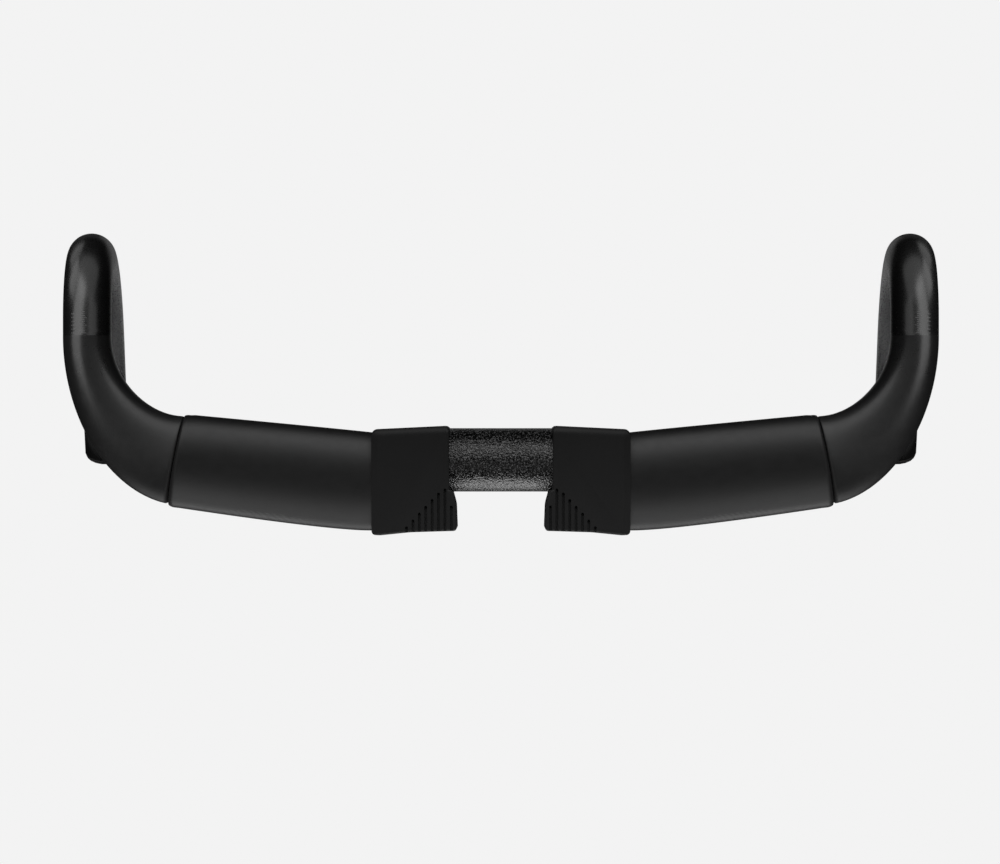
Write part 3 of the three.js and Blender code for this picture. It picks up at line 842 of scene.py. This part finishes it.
# Corners of the cover in plan, anticlockwise, each with the radius it is rounded to.
COVER_CORNERS = [
    ((64.3, -37.2), 2.4), ((64.3, 15.3), 3.2), ((27.0, 17.05), 1.6), ((25.6, 15.9), 1.2), ((25.6, -14.6), 0.5),
    ((24.2, -15.2), 2.0), ((22.3, -22.0), 14.0), ((21.8, -34.95), 1.6), ((45.0, -35.8), 40.0), ((60.0, -37.4), 12.0),
]
# How each side, from its corner to the next, turns over into the roof: how far in it reaches and how far down.
COVER_EDGES = [(3.4, 0.9), (4.0, 3.0), (3.0, 3.0), (1.2, 1.2), (0.8, 0.8),
               (1.2, 1.2), (1.6, 1.6), (1.6, 1.6), (1.6, 1.6), (1.6, 1.6)]
CHAMFERED = 0  # the side that is a flat chamfer, on the wing; the others are rounded


def roof_height(x, y):
    """The height of the roof's plane, which falls outward and towards the rear."""
    return ROOF - FALL_OUT * (x - CLAMP_REACH) + FALL_BACK * y


def edge_inset(side, down):
    """How far a side has moved in at a depth below the roof."""
    reach, drop = (value * MM for value in COVER_EDGES[side])
    rise = max(0.0, 1 - down / drop)
    if side == CHAMFERED:
        return reach * rise
    return reach * (1 - math.sqrt(max(0.0, 1 - rise * rise)))


def inset_corners(insets):
    """The cover's corners with each side moved inward by its own distance."""
    corners = [np.array(c) * MM for c, _ in COVER_CORNERS]
    count = len(corners)
    sides = []
    for i in range(count):
        along = corners[(i + 1) % count] - corners[i]
        along /= np.linalg.norm(along)
        inward = np.array([-along[1], along[0]])
        sides.append((corners[i] + inward * insets[i], along))
    moved = []
    for i in range(count):
        (p, d), (q, e) = sides[i - 1], sides[i]
        cross = d[0] * e[1] - d[1] * e[0]
        if abs(cross) < 1e-3:
            moved.append(q)
            continue
        t = ((q - p)[0] * e[1] - (q - p)[1] * e[0]) / cross
        moved.append(p + d * t)
    return moved


def cover_outline(insets, extra=0.0):
    """The cover's rounded outline with its sides moved in; extra is how much its corners tighten inside a wall."""
    radii = [max(0.25 * MM, radius * MM - extra - 0.6 * min(insets[i - 1], insets[i]) + 0.6 * extra)
             for i, (_, radius) in enumerate(COVER_CORNERS)]
    return rounded_profile(inset_corners(insets), radii, steps=6)


def cover_layer(down, height=None):
    """The cover's ring at a depth below the roof, or that outline laid level at a height."""
    outline = cover_outline([edge_inset(side, down) for side in range(len(COVER_EDGES))])
    return np.array([(x, y, roof_height(x, y) - down if height is None else height) for x, y in outline])


def cover_block(name, floor):
    """The solid cover, from its flat floor to the rolled edge of its roof."""
    depths = [3.0, 2.5, 2.1, 1.7, 1.4, 1.15, 0.9, 0.7, 0.5, 0.35, 0.2, 0.08, 0.0]
    return skin(name, [cover_layer(9 * MM, floor)] + [cover_layer(depth * MM) for depth in depths])


def cover_hollow():
    """The room inside: straight walls up to a ceiling that follows the roof."""
    outline = cover_outline([COVER_WALL] * len(COVER_EDGES), COVER_WALL)
    below = np.array([(x, y, -1 * MM) for x, y in outline])
    above = np.array([(x, y, roof_height(x, y) - COVER_WALL) for x, y in outline])
    return skin("hollow", [below, above])


def groove_cutter(index):
    """A slot with a rounded front end, cut down into the roof."""
    x = GROOVE_FIRST - index * GROOVE_PITCH
    front = GROOVE_ENDS[index] * MM
    half = GROOVE_WIDTH / 2
    outline = [(x - half, -0.045), (x + half, -0.045)]
    for k in range(9):
        angle = math.radians(180 * k / 8)
        outline.append((x + half * math.cos(angle), front - half + half * math.sin(angle)))
    rings = [np.array([(px, py, roof_height(px, py) + z) for px, py in outline]) for z in (-GROOVE_DEPTH, 3 * MM)]
    return skin("groove", rings)


def post(name, radius, bottom, top, steps=40):
    """An upright cylinder round the screw's axis."""
    x, y = SCREW_PLACE
    turn = np.linspace(0, 2 * math.pi, steps, endpoint=False)
    return skin(name, [np.stack([x + radius * np.cos(turn), y + radius * np.sin(turn), np.full(steps, z)], axis=1)
                       for z in (bottom, top)])


def bar_cutter():
    """The bar under a cover, larger by the gap that the cover keeps to it."""
    before = change_section(0)
    before = (before[0] - np.array([12 * MM, 0, 0]), before[1], before[2])
    beyond = [wing_section(0.06 * k) for k in range(3)]
    parts = [before] + [change_section(i / CHANGE_STEPS) for i in range(CHANGE_STEPS)] + beyond
    return skin("bar_cutter", [ring_of(s, GAP) for s in parts])


def cover_shell(name):
    """One half of a cover, right side up: hollow, with the hoses' mouth and the screw's boss."""
    shell = cut(cover_block(name, GAP / 2), bar_cutter())
    cut(shell, cover_hollow())
    below = -5 * MM
    outline = rounded_profile([(MOUTH_REAR, below), (MOUTH_FRONT, below), (MOUTH_FRONT, MOUTH_TOP),
                               (MOUTH_REAR, MOUTH_TOP)], 2 * MM, 5)
    cut(shell, skin("mouth", [np.array([(x, y, z) for y, z in outline]) for x in (10 * MM, 30 * MM)]))
    boss = post("boss", BOSS_RADIUS, GAP / 2, roof_height(*SCREW_PLACE) - 1.5 * MM)
    return cut(shell, cut(boss, bar_cutter()), "UNION")


def upper_cover():
    shell = cover_shell("right_upper_cover_shell")
    for index in range(len(GROOVE_ENDS)):
        cut(shell, groove_cutter(index))
    cut(shell, post("insert_hole", INSERT_HOLE[0], -1 * MM, INSERT_HOLE[1]))
    return smooth_shading(shell, 28)


def lower_cover():
    shell = cover_shell("right_lower_cover_shell")
    shell.data.transform(Matrix.Scale(-1, 4, (0, 0, 1)))
    shell.data.flip_normals()
    cut(shell, post("shaft_hole", SHAFT_HOLE_RADIUS, -30 * MM, 1 * MM))
    cut(shell, post("head_hole", HEAD_HOLE[0], -30 * MM, HEAD_HOLE[1]))
    return smooth_shading(shell, 28)


# ---------------------------------------------------------------- building

finishes = {
    "clamp_grit": clamp_grit(),
    "wing_paint": matt_paint("wing_paint", 60 * MM, 80 * MM),
    "bend_paint": matt_paint("bend_paint", 5 * MM, 45 * MM),
    "satin_carbon": satin_carbon(),
    "laminate": laminate(),
    "scale_ink": scale_ink(),
    "cover_plastic": cover_plastic(),
    "rubber": rubber(),
    "nylon": nylon(),
    "steel": metal("plated_steel", grey(0.10), grey(0.2), 0.32),
    "brass": metal("brass", (0.42, 0.28, 0.09), (0.6, 0.43, 0.18), 0.3),
    "aluminium": metal("aluminium", grey(0.5), grey(0.62), 0.33),
}

make_camera()
make_world()
backdrop()

wing_pieces()
for piece in bend_pieces():
    for side, shown in (("right", piece), ("left", mirrored(piece, piece.name.replace("right", "left")))):
        smooth_shading(shown)
        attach(shown, "bar")
        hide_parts(side + "_drop")
scale_marks()

for kind, make in (("upper_cover", upper_cover), ("lower_cover", lower_cover)):
    right = make()
    right.data.materials.clear()
    right.data.materials.append(finishes["cover_plastic"])
    left = mirrored(right, "left_" + kind + "_shell")
    for side, piece in (("right", right), ("left", left)):
        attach(piece, side + "_" + kind)
        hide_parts(side + "_" + kind)

NODE_FINISH = {"threaded_insert": "brass", "screw_washer": "steel", "cover_screw": "steel",
               "exit_grommet": "rubber", "entry_grommet": "rubber", "plug_cap": "nylon",
               "plug_sleeve": "rubber", "plug_cone": "aluminium", "plug_screw": "steel"}
for side in SIDES:
    for kind, finish in NODE_FINISH.items():
        node = frame["nodes"][side + "_" + kind]
        node.data.materials.clear()
        node.data.materials.append(finishes[finish])

# ---------------------------------------------------------------- lighting

bpy.context.scene.view_settings.view_transform = "Standard"
bpy.context.scene.view_settings.look = "None"


def group_of(name, *parts):
    """A collection of the shown pieces whose names hold any of the given parts, for a light of their own."""
    group = bpy.data.collections.new(name)
    for piece in bpy.data.objects:
        if piece.type == "MESH" and piece.name != "backdrop" and any(part in piece.name for part in parts):
            group.objects.link(piece)
    return group


def panel(name, azimuth, from_up, distance, size, power, centre=(0, 0, 0), linked=None):
    """A soft light: azimuth in degrees from forward towards the right, from_up in degrees from straight up."""
    turn, tilt = math.radians(azimuth), math.radians(from_up)
    place = Vector(centre) + distance * Vector((math.sin(turn) * math.sin(tilt), math.cos(turn) * math.sin(tilt),
                                                math.cos(tilt)))
    return soft_light(name, place, centre, size, power, linked)


# The places and powers of the lights are set for each finish, because each one shines differently.
wings = group_of("wings", "wing_shell", "cover", "washer", "insert", "screw", "grommet")
clamps = group_of("clamps", "clamp_shell")
beyond = group_of("beyond", "wing_shell")
bends = group_of("bends", "bend_shell")
panel("front_light", 0, 48, 1.2, (2.6, 0.75), 11.5, linked=wings)
panel("horizon_light", 180, 97, 1.3, (2.6, 0.8), 14, linked=wings)
panel("rear_light", 180, 50, 1.3, (2.6, 1.0), 10, linked=beyond)
panel("clamp_front_light", 0, 42, 1.2, (2.6, 0.5), 9, linked=clamps)
panel("clamp_rear_light", 180, 103, 1.2, (2.6, 0.8), 24, linked=clamps)
panel("clamp_top_light", 180, 22, 1.2, (2.6, 0.3), 2, linked=clamps)
panel("bend_front_light", 0, 47, 1.2, (2.6, 0.7), 10.5, linked=bends)
panel("bend_top_light", 0, 16, 1.2, (2.6, 0.5), 1.4, linked=bends)
panel("bend_rear_light", 180, 92, 1.3, (2.4, 1.4), 15, linked=bends)
for side, sign in SIDES.items():
    bend = group_of(side + "_bend", side + "_bend")
    hook = group_of(side + "_hook", side + "_hook", side + "_mark", side + "_plug", side + "_entry_grommet")
    place = (sign * HOOD_X, 80 * MM, 0)
    panel(side + "_bend_light", sign * 68, 43, 0.9, (0.9, 0.7), 4.6, place, bend)
    panel(side + "_outer_light", sign * 74, 34, 0.9, (1.8, 0.75), 12.5, place, hook)
    panel(side + "_outer_fore_light", sign * 50, 80, 0.9, (0.6, 0.55), 2.2, place, hook)
    panel(side + "_outer_low_light", sign * 39, 112, 0.9, (0.5, 0.4), 0.5, place, hook)
    panel(side + "_fore_light", sign * -8, 60, 0.9, (1.3, 1.1), 4.2, place, hook)
    panel(side + "_top_light", sign * -5, 14, 0.9, (1.0, 0.7), 0.7, place, hook)
    panel(side + "_inner_light", sign * -106, 34, 0.9, (1.1, 0.62), 2.1, place, hook)
    panel(side + "_rim_light", sign * -90, 160, 0.9, (1.0, 0.25), 0.15, place)
    inward, outward = ((sign * reach * MM, 55 * MM, -66 * MM) for reach in (60, 210))
    beam = soft_light(side + "_low_light", inward, outward, (0.15, 0.07), 0.028, hook)
    beam.data.spread = math.radians(16)
